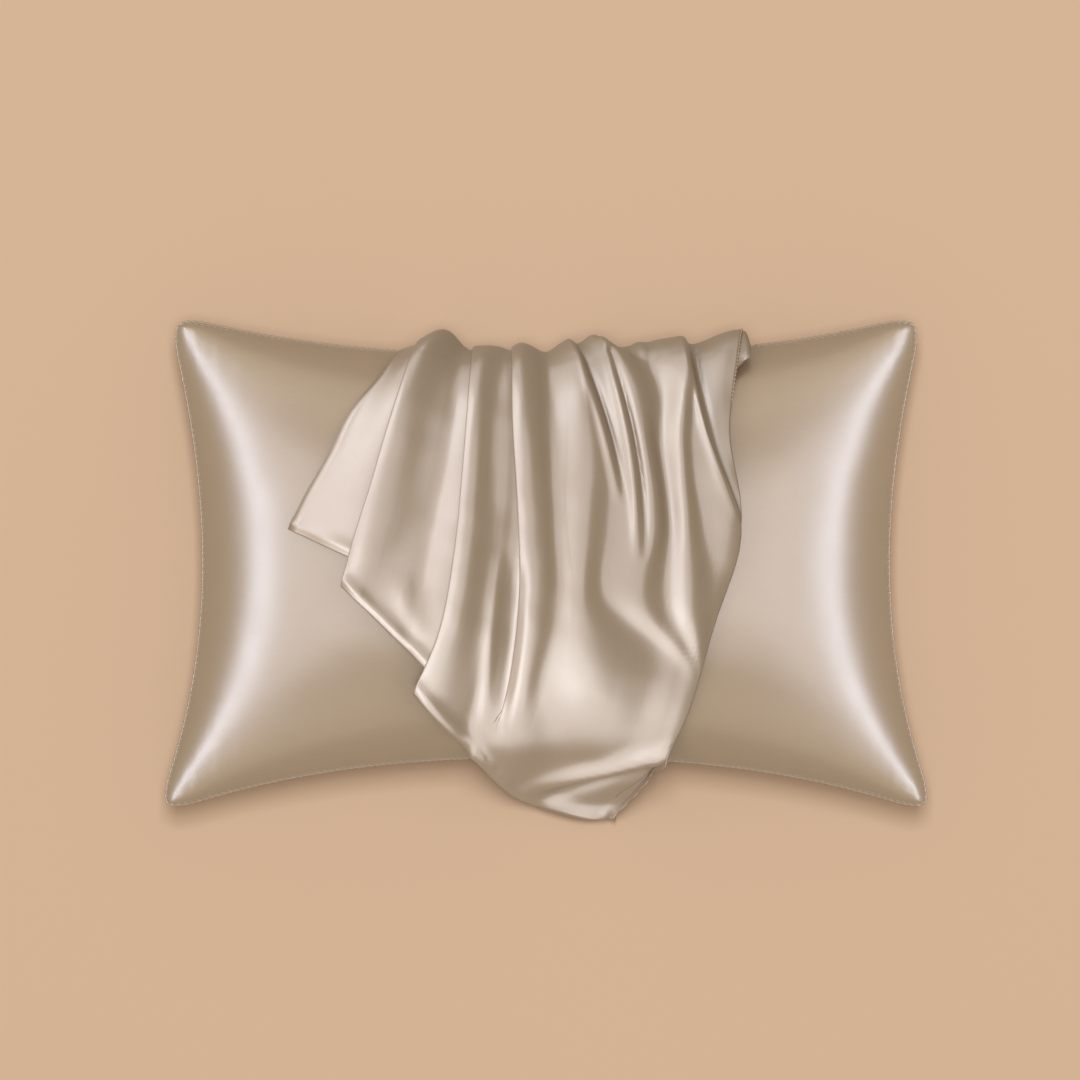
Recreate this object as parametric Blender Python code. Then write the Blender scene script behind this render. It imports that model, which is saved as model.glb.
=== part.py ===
"""A satin pillowcase draped over a pillow that wears the matching case.

The tables are in millimetres and the meshes in metres. The origin is the centre of the
pillow's base on the floor, +X runs along the pillow, +Y points to the long side that the
loose case hangs over, and +Z is up.

The drape is worked out on the pillow's skin. A place on the skin is (x, w): w is y on top
of the pillow, and past the knee near the upper long side it runs on down the pillow's side
and then straight down to the floor. A lift is a distance off the skin.
"""

from typing import NamedTuple

import bpy
import numpy as np

MM = 0.001

# The filled pillow's outline: half sizes at the middle of each side, how much farther the
# corners reach, how that differs between the lower and upper long sides, and how sharply
# each side curves in.
HALF_LENGTH = 343
CORNER_LENGTH = 41.5
CORNER_SKEW = 6.5
SIDE_BOW = 2.0
HALF_WIDTH = 200.5
CORNER_WIDTH = 50
UPPER_SHIFT = 6
CORNER_SHIFT = 8
EDGE_BOW = 2.4
CORNER_ROUNDNESS = 28

# The pillow's filling: the seam's height, the rise above it and the depth below it, of
# which the floor flattens the lowest part. The two powers shape the swell.
SEAM_HEIGHT = 72
CROWN = 93
BELLY = 104
FULLNESS = 2.4
EDGE_ROUNDNESS = 0.52
PILLOW_COLUMNS = 40
PILLOW_ROWS = 28

# Fractions of the pillow's width: the knee, past which a place is counted down the upper
# side, and the line where the cloth takes off from the lower side.
KNEE = 0.93
TAKE_OFF = -0.95
FLOOR_BLEND = 3

# The loose case: its two layers together, the distance between the middles of folded
# layers, and the distance from the pillow to the middle of the lowest layer. The skin lies
# a little under the floor, so that the cloth on it comes to rest on the floor.
THICKNESS = 2.4
LAYER_GAP = 4.6
SKIN_GAP = 4.2
FLOOR_SKIN = THICKNESS / 2 - SKIN_GAP

# A pleat: how far its turns reach, the least overlap at which its layers lie fully apart,
# how far past the hidden turn the upper layer stays up, and where it is down again.
TURN_REACH = 5
UNFOLD = 12
HOLD = 4
LEFT_LANDING = 15
RIGHT_LANDING = 32

# The part that hangs behind: its hem's height, the length over which it shortens towards
# the mouth, and what is left of it there.
BACK_HEM = 4
BACK_TAPER = 190
MOUTH_DROP = 3

# The mouth, where the two layers part: its columns, what each layer spreads outwards and
# half the slit between them, and how far the under layer stands out at either end.
MOUTH_COLUMNS = 3
MOUTH_SPREAD = 0.6
MOUTH_SLIT = 0.7
FLAP = 11
LOWER_LIP = 6

# How far down a fold line each station lies: 0 at the pillow's upper side, 1 at the hem.
STATIONS = (0, 0.2, 0.4, 0.6, 0.85, 1)
BACK_ROWS = 4
FRONT_ROWS = 26
ROW_CROWDING = 1.3

PILLOW_SATIN = (0.70, 0.585, 0.48)
LOOSE_SATIN = (0.72, 0.60, 0.50)


class FoldLine(NamedTuple):
    """A line down the cloth, as x at the pillow's upper side and then (x, y) to the hem."""

    name: str
    steps: int
    rim: float
    upper: tuple
    middle: tuple
    lower: tuple
    brow: tuple
    hem: tuple


# The lines in order across the cloth. A fold is an edge that shows and the tuck beside it
# is the hidden turn under that edge. Steps are the columns from the place before.
FOLD_LINES = {
    line.name: line
    for line in (
        FoldLine("end", 0, -136, (-164, 186), (-195, 148), (-214, 110), (-241, 62), (-255, 33)),
        FoldLine("tuck_1", 5, -98, (-106, 176), (-116, 130), (-128, 82), (-145, 22), (-155, -12)),
        FoldLine("fold_1", 1, -122, (-141, 175), (-157, 125), (-171, 76), (-191, 12), (-200, -23)),
        FoldLine("tuck_2", 4, -50, (-44, 152), (-45, 82), (-53, 10), (-74, -76), (-100, -122)),
        FoldLine("fold_2", 1, -72, (-77, 154), (-82, 85), (-89, 15), (-107, -73), (-131, -125)),
        FoldLine("tuck_3", 4, -18, (-14, 141), (-9, 58), (-8, -28), (-36, -131), (-76, -187)),
        FoldLine("fold_3", 1, -34, (-33, 141), (-28, 58), (-26, -28), (-41, -135), (-64, -200)),
        FoldLine("middle", 9, 20, (22, 138), (20, 50), (28, -38), (6, -174), (-32, -231)),
        FoldLine("ridge", 13, 80, (93, 130), (116, 36), (104, -58), (66, -181), (-4, -243)),
        FoldLine("fold_4", 4, 138, (157, 128), (190, 34), (165, -62), (121, -183), (44, -252)),
        FoldLine("tuck_4", 1, 120, (137, 127), (166, 32), (144, -62), (108, -185), (53, -253)),
        FoldLine("mouth", 7, 199, (181, 128), (191, 38), (157, -62), (119, -184), (62, -254)),
    )
}

# The lines round each pleat, from its under layer: the line before, the hidden turn, the
# edge that shows, and the line after.
LEFT_PLEATS = (
    ("end", "tuck_1", "fold_1", "tuck_2"),
    ("fold_1", "tuck_2", "fold_2", "tuck_3"),
    ("fold_2", "tuck_3", "fold_3", "middle"),
)
RIGHT_PLEAT = ("mouth", "tuck_4", "fold_4", "ridge")


class Crease(NamedTuple):
    """A soft ridge, or a trough where it is below 0, from a start to an end in plan."""

    name: str
    start: tuple
    end: tuple
    bow: float
    start_reach: float
    end_reach: float
    start_height: float
    end_height: float


CREASES = (
    Crease("roll_1", (-103, 224), (-166, 62), -12, 12, 13, 21, 3),
    Crease("swell_1", (-106, 42), (-133, -58), 3, 16, 18, 2, 4),
    Crease("roll_2", (-61, 224), (-108, -102), 16, 9, 13, 7, 4),
    Crease("swell_2", (-41, 0), (-57, -150), 0, 10, 13, 1, 4),
    Crease("roll_3", (-26, 224), (-20, -140), 17, 9, 15, 8, 5),
    Crease("ridge_4", (17, 224), (69, -150), -12, 9, 20, 11, 8),
    Crease("crease_4", (30, 216), (71, 62), 4, 7, 9, 6, 2),
    Crease("ridge_5", (52, 226), (88, 30), 17, 11, 10, 18, 6),
    Crease("ridge_5_low", (88, 214), (113, 22), 5, 8, 10, 8, 6),
    Crease("valley_5", (76, 204), (119, 62), 5, 7, 8, -4, -4),
    Crease("ridge_6", (124, 224), (132, -130), 12, 10, 15, 11, 8),
    Crease("valley_6", (137, 120), (153, 2), 2, 8, 9, -3, -4),
    Crease("strip_7", (192, 226), (170, 82), -5, 13, 9, 17, 1),
    Crease("band", (0, -38), (94, -176), -8, 14, 16, 3, 7),
    Crease("brow", (118, -183), (-28, -218), 8, 11, 12, 10, 5),
    Crease("hollow", (96, -198), (0, -233), 4, 9, 9, -4, -4),
    Crease("pouch_lip", (4, -242), (56, -250), -4, 8, 8, 4, 4),
)


def pillow_plan(s, t):
    """The plan point of the pillow at fractions s of its length and t of its width."""
    reach = np.abs(s) ** EDGE_BOW
    x = s * (HALF_LENGTH + (CORNER_LENGTH - CORNER_SKEW * t) * np.abs(t) ** SIDE_BOW)
    y = t * (HALF_WIDTH + CORNER_WIDTH * reach) + t**2 * (UPPER_SHIFT - CORNER_SHIFT * reach)
    return x, y


def length_fraction(x, t):
    """The fraction s of the pillow's length at x, where the fraction of its width is t."""
    return x / (HALF_LENGTH + (CORNER_LENGTH - CORNER_SKEW * t) * np.abs(t) ** SIDE_BOW)


def pillow_fractions(x, y):
    """The fractions (s, t) of a plan point, which is pillow_plan turned round."""
    s = x / HALF_LENGTH
    t = y / HALF_WIDTH
    for _ in range(12):
        t = np.clip(t, -1, 1)
        s = np.clip(length_fraction(x, t), -1, 1)
        reach = np.abs(s) ** EDGE_BOW
        shift = t**2 * (UPPER_SHIFT - CORNER_SHIFT * reach)
        t = (y - shift) / (HALF_WIDTH + CORNER_WIDTH * reach)
    return s, np.clip(t, -1, 1)


def swell(fraction):
    """How full the pillow is at a fraction of its length or width, from 1 down to 0."""
    return (1 - np.abs(fraction) ** FULLNESS) ** EDGE_ROUNDNESS


def pillow_top(x, y):
    """The height of the pillow's upper skin, and of its seam beyond the outline."""
    s, t = pillow_fractions(x, y)
    return SEAM_HEIGHT + CROWN * swell(s) * swell(t)


def soft_max(first, second, blend):
    """The larger of two heights, rounded over where they are nearly equal."""
    return 0.5 * (first + second + np.sqrt((first - second) ** 2 + blend**2))


def drape_height(x, y):
    """The height that the cloth rests on: the pillow, then straight down to the floor."""
    step = 0.5
    take_off = pillow_plan(length_fraction(x, TAKE_OFF), TAKE_OFF)[1]
    height = pillow_top(x, take_off)
    slope = (pillow_top(x, take_off + step) - height) / step
    falling = height - slope * (take_off - y)
    return soft_max(np.where(y > take_off, pillow_top(x, y), falling), FLOOR_SKIN, FLOOR_BLEND)


def knee(x):
    """(w, height) where the skin starts down the pillow's upper side."""
    s = length_fraction(x, KNEE)
    _, w = pillow_plan(s, KNEE)
    return w, SEAM_HEIGHT + CROWN * swell(s) * swell(KNEE)


def rim(x):
    """The w of the pillow's upper seam."""
    w, height = knee(x)
    return w + height - SEAM_HEIGHT


def skin(x, w):
    """The points of the pillow's skin at the places (x, w)."""
    knee_w, knee_height = knee(x)
    past = np.clip((w - knee_w) / (knee_height - SEAM_HEIGHT), 0, 1)
    raised = swell(KNEE) * (1 - past)
    t = (1 - raised ** (1 / EDGE_ROUNDNESS)) ** (1 / FULLNESS)
    s = length_fraction(x, t)
    side_y = pillow_plan(s, t)[1]
    side_z = SEAM_HEIGHT + CROWN * swell(s) * raised
    side_z = side_z - np.maximum(w - rim(x), 0)
    on_top = w <= knee_w
    y = np.where(on_top, w, side_y)
    z = np.where(on_top, drape_height(x, np.minimum(w, knee_w)), side_z)
    return np.stack([x, y, z], axis=-1)


def unit(vectors):
    """The vectors at length 1."""
    return vectors / np.linalg.norm(vectors, axis=-1, keepdims=True)


def skin_normal(x, w):
    """The directions straight out of the pillow's skin at the places (x, w)."""
    step = 1.0
    along = skin(x + step, w) - skin(x - step, w)
    down = skin(x, w + step) - skin(x, w - step)
    return unit(np.cross(along, down))


def relief(x, w):
    """How far the creases lift the cloth off the skin at the places (x, w)."""
    w = np.minimum(w, rim(x))
    place = np.stack([x, w], axis=-1)
    lift = np.zeros(x.shape)
    share = np.linspace(0, 1, 25)
    for crease in CREASES:
        start = np.array(crease.start)
        run = np.array(crease.end) - start
        side = np.array([-run[1], run[0]]) / np.hypot(*run)
        bulge = (4 * share * (1 - share) * crease.bow)[:, None]
        route = start + run * share[:, None] + side * bulge
        distances = np.linalg.norm(place[..., None, :] - route, axis=-1)
        nearest = share[distances.argmin(axis=-1)]
        reach = crease.start_reach + (crease.end_reach - crease.start_reach) * nearest
        height = crease.start_height + (crease.end_height - crease.start_height) * nearest
        lift += height * np.exp(-((distances.min(axis=-1) / reach) ** 2))
    return lift


def spline(points, at):
    """A smooth curve through points, read at the places at, counted in points.

    It doesn't overshoot where a short stretch meets a long one.
    """
    steps = np.diff(points, axis=0)
    chords = np.linalg.norm(steps, axis=-1, keepdims=True)
    ways = steps / chords
    turning = (ways[:-1] * chords[1:] + ways[1:] * chords[:-1]) / (chords[:-1] + chords[1:])
    tangents = np.concatenate([ways[:1], turning, ways[-1:]])
    low = np.clip(np.floor(at).astype(int), 0, len(steps) - 1)
    past = (at - low).reshape(-1, *[1] * (points.ndim - 1))
    reach = chords[low]
    start, end = points[low], points[low + 1]
    leaving, arriving = tangents[low] * reach, tangents[low + 1] * reach
    rise = past**2 * (3 - 2 * past)
    return (
        start * (1 - rise)
        + end * rise
        + leaving * past * (1 - past) ** 2
        - arriving * past**2 * (1 - past)
    )


def fold_place(line, down):
    """The places (x, w) of a fold line at the fractions down of its length."""
    hem_ward = [line.upper, line.middle, line.lower, line.brow, line.hem]
    points = np.array([(line.rim, float(rim(np.array(float(line.rim)))))] + hem_ward, float)
    return spline(points, np.interp(down, STATIONS, range(len(STATIONS))))


def pleat_places(before, turn, edge, after, landing):
    """The eight places and lifts of one pleat, from the under layer up to the upper one.

    The under layer comes from the line before to the hidden turn, and the upper layer goes
    from the edge that shows to the line after. Where the turn no longer reaches under the
    edge, the pleat opens out flat.
    """
    sideways = np.sign(after[:, 0] - before[:, 0])
    overlap = (turn - edge)[:, 0] * sideways
    under_way = unit(turn - before)
    middle_way = unit(turn - edge) * np.sign(overlap)[:, None]
    upper_way = unit(after - edge)
    folded = TURN_REACH * np.clip(overlap / (3 * TURN_REACH), -1, 1)[:, None]
    gap = LAYER_GAP * np.clip(overlap / UNFOLD, 0, 1)
    slant = np.abs(upper_way[:, 0])
    past_turn = np.maximum(overlap, TURN_REACH) / slant
    places = [
        turn - under_way * TURN_REACH,
        turn,
        turn - middle_way * folded,
        edge + middle_way * folded,
        edge,
        edge + upper_way * TURN_REACH,
        edge + upper_way * (past_turn + HOLD / slant)[:, None],
        edge + upper_way * (past_turn + landing / slant)[:, None],
    ]
    lifts = [0 * gap, 0.5 * gap, 0.95 * gap, 1.05 * gap, 1.5 * gap, 2 * gap, 1.9 * gap, 0.4 * gap]
    return places, lifts


def control_rows(down):
    """The lines that the cloth runs through: their places, lifts and steps."""
    lines = {name: fold_place(line, down) for name, line in FOLD_LINES.items()}
    flat = np.zeros(len(down))
    rows = [(lines["end"], flat, 0)]
    for before, turn, edge, after in LEFT_PLEATS:
        shape = pleat_places(lines[before], lines[turn], lines[edge], lines[after], LEFT_LANDING)
        steps = [FOLD_LINES[turn].steps, 1, 1, FOLD_LINES[edge].steps, 2, 2, 2, 2]
        rows += zip(*shape, steps)
    for name in ("middle", "ridge"):
        rows.append((lines[name], flat, FOLD_LINES[name].steps))
    before, turn, edge, after = RIGHT_PLEAT
    shape = pleat_places(lines[before], lines[turn], lines[edge], lines[after], RIGHT_LANDING)
    steps = [FOLD_LINES[edge].steps, 3, 1, 2, 2, FOLD_LINES[turn].steps, 1, 1]
    rows += zip(*(series[::-1] for series in shape), steps)
    rows.append((lines["mouth"], flat, FOLD_LINES["mouth"].steps))
    return rows


def cloth_places():
    """Arrays [column, row] of x, w and the lift of the cloth's layers off the skin."""
    down = np.linspace(0, 1, FRONT_ROWS + 1) ** ROW_CROWDING
    rows = control_rows(down)
    points = np.array([np.column_stack([place, lift]) for place, lift, _ in rows])
    at = [0.0]
    for index, (_, _, steps) in enumerate(rows[1:]):
        at += list(index + np.arange(1, steps + 1) / steps)
    front = spline(points, np.array(at))
    from_mouth = FOLD_LINES["mouth"].rim - front[:, 0, 0]
    full = SEAM_HEIGHT - BACK_HEM
    drop = MOUTH_DROP + (full - MOUTH_DROP) * np.clip(from_mouth / BACK_TAPER, 0, 1)
    hanging = np.repeat(front[:, :1], BACK_ROWS, axis=1)
    hanging[:, :, 1] += drop[:, None] * np.linspace(1, 1 / BACK_ROWS, BACK_ROWS)
    return np.concatenate([hanging, front], axis=1)


def cloth_middle():
    """The surface halfway through the cloth, as an array [column, row, 3] of points."""
    places = cloth_places()
    x, w, layer = places[..., 0], places[..., 1], places[..., 2]
    lift = SKIN_GAP + np.maximum(layer, 0) + np.maximum(relief(x, w), 0)
    points = skin(x, w) + skin_normal(x, w) * lift[..., None]
    points[..., 2] = np.maximum(points[..., 2], THICKNESS / 2)
    return points


def surface_normals(points):
    """The directions out of the cloth's upper face, for an array [column, row, 3]."""
    across = np.gradient(points, axis=0)
    down = np.gradient(points, axis=1)
    return unit(np.cross(down, across))


def lip_length(rows):
    """How far the under layer stands out past the upper one, for each row."""
    flap = np.clip(1 - np.abs(np.arange(rows) - BACK_ROWS) / 3, 0, 1) * FLAP
    lower = np.clip((np.arange(rows) - rows + 6) / 3, 0, 1) * LOWER_LIP
    return flap + lower


def cloth_loop():
    """The cloth's skin as points [place round the section, row, 3], and its columns.

    The section runs along the upper face to the mouth, back and forth in the slit between
    the case's two layers, and back along the under face.
    """
    middle = cloth_middle()
    normals = surface_normals(middle)
    columns = len(middle)
    root = columns - 1 - MOUTH_COLUMNS
    open_share = np.clip((np.arange(columns) - root) / MOUTH_COLUMNS, 0, 1)[:, None, None]
    face = normals * (THICKNESS / 2 + MOUTH_SPREAD * open_share)
    slit = normals * MOUTH_SLIT * open_share
    outward = unit(middle[-1] - middle[-2]) * lip_length(middle.shape[1])[:, None]
    upper = middle + face
    roof = middle + slit
    floor = middle - slit
    under = middle - face
    floor[-1] += outward
    under[-1] += outward
    loop = [upper, roof[:root:-1], middle[root : root + 1], floor[root + 1 :], under[::-1]]
    points = np.concatenate(loop)
    points[..., 2] = np.maximum(points[..., 2], 0)
    return points, columns


def end_cap(columns):
    """The faces that close the section at one end, as places round the loop."""
    root = columns - 1 - MOUTH_COLUMNS
    upper = list(range(columns))
    roof = list(range(columns + MOUTH_COLUMNS, columns - 1, -1))
    floor = list(range(columns + MOUTH_COLUMNS, columns + 2 * MOUTH_COLUMNS + 1))
    under = list(range(2 * columns + 2 * MOUTH_COLUMNS, columns + 2 * MOUTH_COLUMNS, -1))
    faces = [(upper[i], upper[i + 1], under[i + 1], under[i]) for i in range(root - 1)]
    faces.append((upper[root - 1], upper[root], roof[0], under[root], under[root - 1]))
    for i in range(MOUTH_COLUMNS):
        faces.append((upper[root + i], upper[root + i + 1], roof[i + 1], roof[i]))
        faces.append((floor[i], floor[i + 1], under[root + i + 1], under[root + i]))
    return faces


def cloth_mesh():
    """(points, faces) of the loose case as one closed solid."""
    points, columns = cloth_loop()
    places, rows = points.shape[:2]
    faces = []
    for i in range(places):
        following = (i + 1) % places
        for j in range(rows - 1):
            faces.append((i * rows + j, i * rows + j + 1, following * rows + j + 1, following * rows + j))
    for face in end_cap(columns):
        faces.append(tuple(place * rows for place in face))
        faces.append(tuple(place * rows + rows - 1 for place in reversed(face)))
    return points.reshape(-1, 3), faces


def pillow_mesh():
    """(points, faces) of the filled pillow: an upper and an under skin that meet at the seam."""
    s = np.sin(np.linspace(-np.pi / 2, np.pi / 2, PILLOW_COLUMNS + 1))
    t = np.sin(np.linspace(-np.pi / 2, np.pi / 2, PILLOW_ROWS + 1))
    s, t = np.meshgrid(s, t, indexing="ij")
    larger = np.maximum(np.abs(s), np.abs(t))
    ratio = np.minimum(np.abs(s), np.abs(t)) / np.maximum(larger, 0.01)
    rounded = (1 + ratio**CORNER_ROUNDNESS) ** (1 / CORNER_ROUNDNESS)
    x, y = pillow_plan(s / rounded, t / rounded)
    rise = swell(s) * swell(t)
    upper = np.stack([x, y, SEAM_HEIGHT + CROWN * rise], axis=-1).reshape(-1, 3)
    under = np.stack([x, y, np.maximum(SEAM_HEIGHT - BELLY * rise, 0)], axis=-1).reshape(-1, 3)
    index = np.arange(len(upper)).reshape(s.shape)
    inner = np.full(s.shape, -1)
    inner[1:-1, 1:-1] = len(upper) + np.arange((PILLOW_COLUMNS - 1) * (PILLOW_ROWS - 1)).reshape(
        PILLOW_COLUMNS - 1, PILLOW_ROWS - 1
    )
    below = np.where(inner < 0, index, inner)
    points = np.concatenate([upper, under[index[1:-1, 1:-1].ravel()]])
    faces = []
    for i in range(PILLOW_COLUMNS):
        for j in range(PILLOW_ROWS):
            faces.append((index[i, j], index[i + 1, j], index[i + 1, j + 1], index[i, j + 1]))
            faces.append((below[i, j], below[i, j + 1], below[i + 1, j + 1], below[i + 1, j]))
    return points, faces


def satin(name, color, roughness):
    """A plain material in the satin's colour."""
    material = bpy.data.materials.new(name)
    material.use_nodes = True
    shader = material.node_tree.nodes["Principled BSDF"]
    shader.inputs["Base Color"].default_value = (*color, 1)
    shader.inputs["Roughness"].default_value = roughness
    shader.inputs["Metallic"].default_value = 0
    return material


def add_piece(name, shape, material):
    """Makes the object of one piece from its (points in mm, faces)."""
    points, faces = shape
    mesh = bpy.data.meshes.new(name)
    mesh.from_pydata((points * MM).tolist(), [], [[int(corner) for corner in face] for face in faces])
    mesh.materials.append(material)
    mesh.shade_smooth()
    piece = bpy.data.objects.new(name, mesh)
    bpy.context.scene.collection.objects.link(piece)
    return piece


def main():
    for old in list(bpy.data.objects):
        bpy.data.objects.remove(old, do_unlink=True)
    add_piece("filled_pillow", pillow_mesh(), satin("pillow_satin", PILLOW_SATIN, 0.42))
    add_piece("loose_pillowcase", cloth_mesh(), satin("loose_satin", LOOSE_SATIN, 0.36))


main()
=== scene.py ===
"""The looks of a loose satin pillowcase that lies in fanned pleats over a filled pillow.

Shapes are worked out in millimetres, with the origin at the centre of the pillow's flat base,
+X along the pillow, +Y towards the long side that the loose case hangs over and +Z up, and
are turned into metres where a mesh is made.

The drape is worked out on the pillow's skin. A place on the skin is (x, w): w is y on top of
the pillow, and past the knee near the upper long side it runs on down the pillow's side and
then straight down to the floor. A lift is a distance off the skin.
"""

import logging
import math
from dataclasses import dataclass, field
from enum import Enum, IntEnum
from typing import NamedTuple

import bpy
import numpy as np
from mathutils import Matrix, Vector


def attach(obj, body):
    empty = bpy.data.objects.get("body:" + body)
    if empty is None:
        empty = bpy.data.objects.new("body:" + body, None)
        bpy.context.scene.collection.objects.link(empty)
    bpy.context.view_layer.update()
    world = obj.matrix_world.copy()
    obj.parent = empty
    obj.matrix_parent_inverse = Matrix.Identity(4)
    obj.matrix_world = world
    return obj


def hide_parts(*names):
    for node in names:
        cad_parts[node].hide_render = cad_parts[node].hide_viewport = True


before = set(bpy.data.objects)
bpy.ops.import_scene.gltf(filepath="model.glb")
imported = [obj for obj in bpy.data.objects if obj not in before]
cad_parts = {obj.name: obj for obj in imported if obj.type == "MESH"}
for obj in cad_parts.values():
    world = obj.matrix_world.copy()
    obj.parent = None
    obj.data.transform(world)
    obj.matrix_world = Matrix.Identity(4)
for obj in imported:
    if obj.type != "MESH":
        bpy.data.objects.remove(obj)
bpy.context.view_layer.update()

LOG = logging.getLogger("pillowcase")
MM = 0.001
BODY = "root"

NOISE_SPAN = (0.3, 0.7)
WAVES = 4
WAVE_LENGTHS = (0.55, 1.7)
WAVE_PEAK = 2.4


class Weave(Enum):
    """Which way a satin's long floats run on its piece."""

    ALONG = "along"
    ACROSS = "across"


class Side(Enum):
    """The side that a pleat folds towards."""

    LEFT = "left"
    RIGHT = "right"


class LitBy(Enum):
    """What a lamp in the studio lights."""

    FLOOR = "floor"
    PILLOW = "pillow"
    CASE = "case"


class Chance(IntEnum):
    """The seeds of the uneven lines, so that each run draws the same ones."""

    PILLOW_SIDES = 3
    PILLOW_EDGES = 5
    PILLOW_SLACK_ALONG = 11
    PILLOW_SLACK_ACROSS = 13
    CASE_SLACK_ALONG = 21
    CASE_SLACK_DOWN = 23


# ---------------------------------------------------------------------------------- finishes


class Mottle(NamedTuple):
    """A noise in a satin: its size in metres, its finer octaves and its share of the shade."""

    size: float
    octaves: float
    strength: float
    share: float


class Nodes:
    """A small helper that adds and joins the nodes of one material."""

    def __init__(self, material: bpy.types.Material) -> None:
        """Clears the material's tree and adds its shader.

        Args:
            material: The material whose nodes are made.
        """
        material.use_nodes = True
        self.tree = material.node_tree
        self.tree.nodes.clear()
        self.output = self.add("ShaderNodeOutputMaterial")
        self.shader = self.add("ShaderNodeBsdfPrincipled")
        self.join(self.shader, "BSDF", self.output, "Surface")

    def add(self, kind: str, **settings: object) -> bpy.types.Node:
        """Adds one node.

        Args:
            kind: Blender's name for the node.
            settings: The node's own properties.

        Returns:
            The new node.
        """
        node = self.tree.nodes.new(kind)
        for name, value in settings.items():
            setattr(node, name, value)
        return node

    def join(self, source: bpy.types.Node, out: str | int, target: bpy.types.Node, into: str | int) -> None:
        """Links an output of one node to an input of another.

        Args:
            source: The node that gives the value.
            out: Its output, by name or place.
            target: The node that takes it.
            into: Its input, by name or place.
        """
        self.tree.links.new(source.outputs[out], target.inputs[into])

    def fill(self, node: bpy.types.Node, values: dict[str | int, object]) -> None:
        """Sets unlinked inputs of a node, by their names or places."""
        for name, value in values.items():
            node.inputs[name].default_value = value

    def noise(self, place: bpy.types.Node, mottle: Mottle, stretch: float = 1) -> bpy.types.Node:
        """Adds a noise texture that reads a mapping.

        Args:
            place: The mapping node.
            mottle: The noise's sizes.
            stretch: How much longer than wide the mapping makes it.

        Returns:
            The noise node.
        """
        node = self.add("ShaderNodeTexNoise")
        scale = 1 / (stretch * mottle.size)
        self.fill(node, {"Scale": scale, "Detail": mottle.octaves, "Roughness": mottle.strength})
        self.join(place, "Vector", node, "Vector")
        return node

    def spread(self, texture: bpy.types.Node, low: float, high: float) -> bpy.types.Node:
        """Maps a noise, whose values lie mostly in NOISE_SPAN, on to a range.

        Args:
            texture: The noise.
            low: What the lower end of the span becomes.
            high: What its upper end becomes.

        Returns:
            The map range node.
        """
        node = self.add("ShaderNodeMapRange", clamp=False)
        start, end = NOISE_SPAN
        self.fill(node, {"From Min": start, "From Max": end, "To Min": low, "To Max": high})
        self.join(texture, "Fac", node, "Value")
        return node

    def bump(
        self, height: bpy.types.Node, out: str, depth: float, under: bpy.types.Node | None = None
    ) -> bpy.types.Node:
        """Adds a bump on top of another one.

        Args:
            height: The node that gives the height, from 0 to 1.
            out: Its output.
            depth: The depth in metres of a height of 1.
            under: The bump below this one, or None.

        Returns:
            The bump node.
        """
        node = self.add("ShaderNodeBump")
        self.fill(node, {"Strength": 1.0, "Distance": depth})
        self.join(height, out, node, "Height")
        if under is not None:
            self.join(under, "Normal", node, "Normal")
        return node

    def two_tone(self, texture: bpy.types.Node, color: tuple[float, float, float], left: float) -> None:
        """Gives the shader a colour that a texture darkens.

        Args:
            texture: The texture, which is 0 where the colour is darkest.
            color: The colour.
            left: The part of the colour that is left there.
        """
        ramp = self.add("ShaderNodeValToRGB")
        ramp.color_ramp.elements[0].color = (*(left * shade for shade in color), 1)
        ramp.color_ramp.elements[1].color = (*color, 1)
        self.join(texture, "Fac", ramp, "Fac")
        self.join(ramp, "Color", self.shader, "Base Color")


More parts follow.
